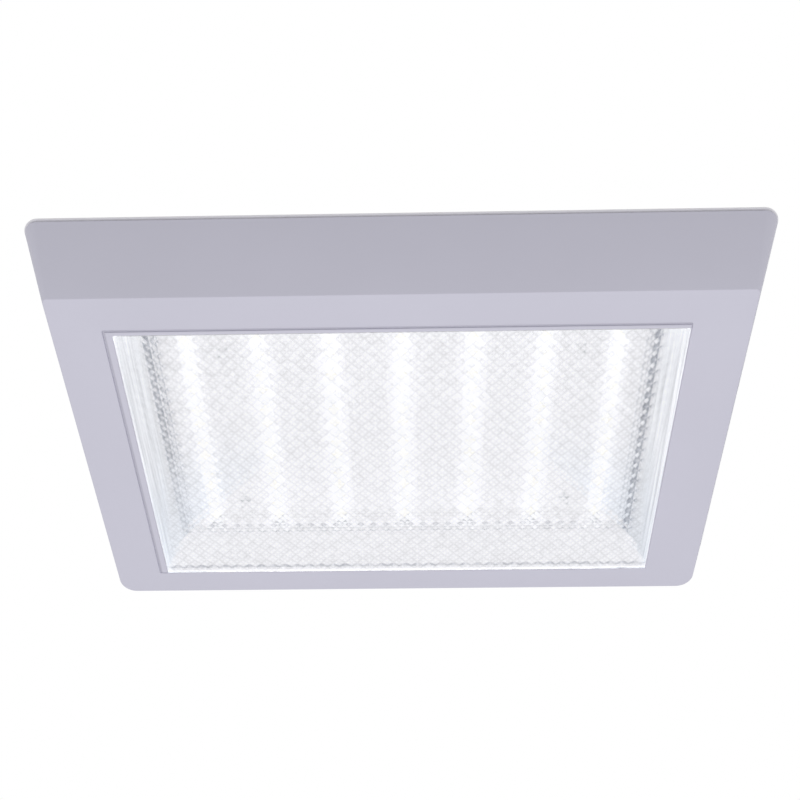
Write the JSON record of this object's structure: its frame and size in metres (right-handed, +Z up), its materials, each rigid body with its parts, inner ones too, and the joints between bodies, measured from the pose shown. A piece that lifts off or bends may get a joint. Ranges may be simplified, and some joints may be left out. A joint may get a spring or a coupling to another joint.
{
  "type": "ceiling light",
  "caption": "Surface-mounted LED ceiling light: tapered sheet-metal canopy that hinges down from a ceiling pan, with a prismatic lens over light boards in a white tray",
  "frame": {"origin": "centre of the flat face that lies on the ceiling", "axes": "+Z up into the ceiling, +Y towards the hinge side, +X along the long side, to the right of somebody who looks along +Y"},
  "size_m": [0.61, 0.383, 0.075],
  "materials": {
    "canopy_paint": "satin pale grey powder coat",
    "pan_steel": "satin pale grey powder coat",
    "tray_white": "matt white reflector paint",
    "zinc_steel": "zinc plated",
    "spring_steel": "bright spring steel",
    "brass": "plain",
    "board_white": "white solder mask",
    "chip_yellow": "phosphor, lit",
    "driver_white": "fine texture",
    "terminal_ivory": "moulded",
    "wire_red": "insulated wire",
    "wire_white": "insulated wire",
    "wire_brown": "insulated wire",
    "wire_green": "insulated wire",
    "rubber_grey": "moulded",
    "latch_grey": "moulded acetal",
    "bolt_white": "moulded acetal",
    "gasket_foam": "foam",
    "lens_clear": "clear acrylic with a prism pattern"
  },
  "bodies": {
    "base": {"ceiling_pan": "pan_steel", "cable_grommet": "rubber_grey", "tray_rails": "zinc_steel", "reflector_tray": "tray_white", "tray_screws": "zinc_steel", "led_board_1": "board_white", "led_board_2": "board_white", "led_board_3": "board_white", "led_board_4": "board_white", "led_board_5": "board_white", "led_board_6": "board_white", "led_board_7": "board_white", "led_chips": "chip_yellow", "board_screws": "zinc_steel", "jumper_wires": "wire_white", "led_lead": "wire_red", "driver": "driver_white", "driver_screws": "zinc_steel", "mains_wires": "wire_brown", "terminal_block": "terminal_ivory", "terminal_screws": "brass", "earth_stud": "zinc_steel", "earth_nut": "brass", "earth_wire": "wire_green", "hinge_bracket_left": "zinc_steel", "hinge_bracket_right": "zinc_steel", "hinge_screws": "zinc_steel", "hinge_pins": "zinc_steel", "latch_body_left": "latch_grey", "latch_body_right": "latch_grey", "latch_screws": "zinc_steel", "latch_spring_left": "spring_steel", "latch_spring_right": "spring_steel"},
    "canopy": {"canopy": "canopy_paint", "hinge_leaf_left": "zinc_steel", "hinge_leaf_right": "zinc_steel", "lens_frame": "canopy_paint", "lens_gasket": "gasket_foam", "lens": "lens_clear", "lens_clips": "spring_steel", "clip_studs": "zinc_steel", "clip_nuts": "brass"},
    "latch_left": {"latch_bolt_left": "bolt_white"},
    "latch_right": {"latch_bolt_right": "bolt_white"},
    "turn_clip_1": {"turn_clip_1": "zinc_steel"},
    "turn_clip_2": {"turn_clip_2": "zinc_steel"},
    "turn_clip_3": {"turn_clip_3": "zinc_steel"},
    "turn_clip_4": {"turn_clip_4": "zinc_steel"}
  },
  "joints": [
    {"name": "canopy_hinge", "type": "hinge", "parent": "base", "child": "canopy", "pos_m": [0, 0.18518, -0.0078], "axis": [1, 0, 0], "range_deg": [0, 90]},
    {"name": "latch_left_slide", "type": "slide", "parent": "base", "child": "latch_left", "axis": [0, 1, 0], "range_m": [0, 0.0055], "stiffness_N_per_m": 1200, "springref_m": -0.004, "deforming": ["latch_spring_left"]},
    {"name": "latch_right_slide", "type": "slide", "parent": "base", "child": "latch_right", "axis": [0, 1, 0], "range_m": [0, 0.0055], "stiffness_N_per_m": 1200, "springref_m": -0.004, "deforming": ["latch_spring_right"]},
    {"name": "turn_clip_1_turn", "type": "hinge", "parent": "canopy", "child": "turn_clip_1", "pos_m": [-0.1495, -0.14341, -0.0619], "axis": [0, 0, 1], "range_deg": [0, 90]},
    {"name": "turn_clip_2_turn", "type": "hinge", "parent": "canopy", "child": "turn_clip_2", "pos_m": [0.1505, -0.14341, -0.0619], "axis": [0, 0, -1], "range_deg": [0, 90]},
    {"name": "turn_clip_3_turn", "type": "hinge", "parent": "canopy", "child": "turn_clip_3", "pos_m": [-0.1495, 0.15241, -0.0619], "axis": [0, 0, -1], "range_deg": [0, 90]},
    {"name": "turn_clip_4_turn", "type": "hinge", "parent": "canopy", "child": "turn_clip_4", "pos_m": [0.1505, 0.15241, -0.0619], "axis": [0, 0, 1], "range_deg": [0, 90]}
  ]
}
